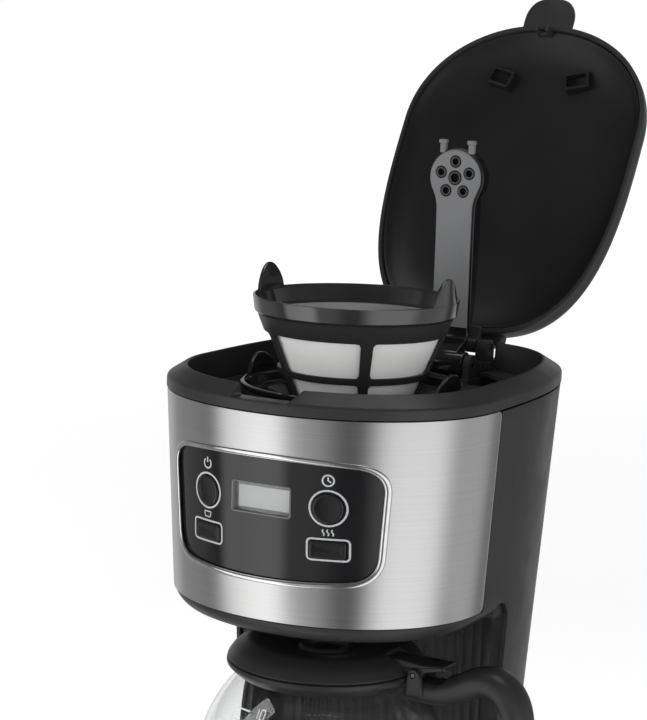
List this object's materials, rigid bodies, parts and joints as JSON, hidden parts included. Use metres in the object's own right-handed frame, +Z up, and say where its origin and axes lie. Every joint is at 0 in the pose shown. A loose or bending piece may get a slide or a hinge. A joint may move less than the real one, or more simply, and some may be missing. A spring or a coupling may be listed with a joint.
{
  "type": "drip coffee maker",
  "caption": "Drip coffee maker with hinged lid, swinging water spout, lift-out basket and cone filter, push-button panel and glass carafe on a warming plate.",
  "frame": {"origin": "bottom centre of the bounding box as drawn, on the surface that it stands on", "axes": "+Z up; -Y is the front with the control panel; +X is the side of the carafe's handle"},
  "size_m": [0.2328, 0.376, 0.5424],
  "materials": {
    "satin_black": "fine satin moulded polypropylene",
    "gloss_black": "polished",
    "brushed_steel": "fine brush lines around the body",
    "dark_grey": "satin",
    "display_grey": "clear window over a pale display",
    "rubber": "matte",
    "zinc": "zinc plated",
    "cast_aluminium": "as cast",
    "white_plastic": "natural",
    "silicone": "translucent silicone",
    "board_green": "solder mask",
    "non_stick": "fine-grained non-stick coating",
    "filter_mesh": "woven wire cloth",
    "carafe_glass": "clear borosilicate"
  },
  "bodies": {
    "machine": {"base_housing": "satin_black", "base_plate": "satin_black", "foot_front_left": "rubber", "foot_front_right": "rubber", "foot_rear_left": "rubber", "foot_rear_right": "rubber", "base_screw_front_left": "zinc", "base_screw_front_right": "zinc", "base_screw_rear_left": "zinc", "base_screw_rear_right": "zinc", "warming_plate": "non_stick", "cord_gland": "satin_black", "heater_tube": "cast_aluminium", "heater_bracket": "zinc", "thermostat": "zinc", "thermal_fuse": "white_plastic", "check_valve": "white_plastic", "cold_hose": "silicone", "riser_tube": "silicone", "rear_housing": "satin_black", "front_wall": "satin_black", "reservoir": "white_plastic", "steel_band": "brushed_steel", "head_shell": "satin_black", "panel_trim": "brushed_steel", "head_underside": "satin_black", "top_ring": "satin_black", "brew_chamber": "satin_black", "control_panel": "gloss_black", "display_window": "display_grey", "lcd_module": "dark_grey", "control_board": "board_green", "hinge_bracket": "satin_black", "hinge_pin": "zinc", "spout_socket": "satin_black", "spout_pin": "zinc"},
    "power_button": {"power_button": "gloss_black"},
    "prog_button": {"prog_button": "gloss_black"},
    "brew_button": {"brew_button": "gloss_black"},
    "warm_button": {"warm_button": "gloss_black"},
    "lid": {"lid_shell": "satin_black", "lid_liner": "gloss_black", "lid_latch": "satin_black"},
    "spout": {"spout_arm": "gloss_black", "spout_cover": "dark_grey"},
    "basket": {"brew_basket": "satin_black"},
    "filter": {"filter_frame": "gloss_black", "filter_mesh": "filter_mesh"},
    "drip_stop": {"drip_valve": "white_plastic", "drip_seal": "silicone", "drip_spring": "zinc"},
    "carafe": {"carafe_glass": "carafe_glass", "carafe_collar": "satin_black", "carafe_handle": "satin_black", "lever_pin": "zinc", "collar_screw": "zinc"},
    "carafe_cover": {"carafe_lid": "satin_black", "lid_lever": "satin_black"}
  },
  "joints": [
    {"name": "lid_hinge", "type": "hinge", "parent": "machine", "child": "lid", "pos_m": [-0.016, 0.06, 0.3264], "axis": [-1, 0, 0], "range_deg": [-120.3, 0]},
    {"name": "spout_swing", "type": "hinge", "parent": "machine", "child": "spout", "pos_m": [-0.016, 0.038, 0.318], "axis": [-1, 0, 0], "range_deg": [-90, 0]},
    {"name": "basket_lift", "type": "slide", "parent": "machine", "child": "basket", "axis": [0, 0, 1], "range_m": [0, 0.15]},
    {"name": "filter_seat", "type": "slide", "parent": "basket", "child": "filter", "axis": [0, 0, 1], "range_m": [-0.048, 0]},
    {"name": "drip_stop_travel", "type": "slide", "parent": "basket", "child": "drip_stop", "axis": [0, 0, 1], "range_m": [-0.005, 0], "stiffness_N_per_m": 60, "springref_m": -0.006},
    {"name": "power_press", "type": "slide", "parent": "machine", "child": "power_button", "axis": [0.3367, 0.9403, 0.0488], "range_m": [0, 0.0012], "stiffness_N_per_m": 400},
    {"name": "brew_press", "type": "slide", "parent": "machine", "child": "brew_button", "axis": [0.3367, 0.9403, 0.0488], "range_m": [0, 0.0012], "stiffness_N_per_m": 400},
    {"name": "prog_press", "type": "slide", "parent": "machine", "child": "prog_button", "axis": [-0.3367, 0.9403, 0.0488], "range_m": [0, 0.0012], "stiffness_N_per_m": 400},
    {"name": "warm_press", "type": "slide", "parent": "machine", "child": "warm_button", "axis": [-0.3367, 0.9403, 0.0488], "range_m": [0, 0.0012], "stiffness_N_per_m": 400},
    {"name": "carafe_slide", "type": "slide", "parent": "machine", "child": "carafe", "axis": [0, -1, 0], "range_m": [0, 0.2]},
    {"name": "carafe_lid_hinge", "type": "hinge", "parent": "carafe", "child": "carafe_cover", "pos_m": [0.046, -0.1, 0.1636], "axis": [0, 1, 0], "range_deg": [0, 4]}
  ],
  "couplings": [
    {"joint": "spout_swing", "follows": "lid_hinge", "ratio": 0.748},
    {"joint": "filter_seat", "follows": "lid_hinge", "m_per_rad": 0.02286}
  ]
}
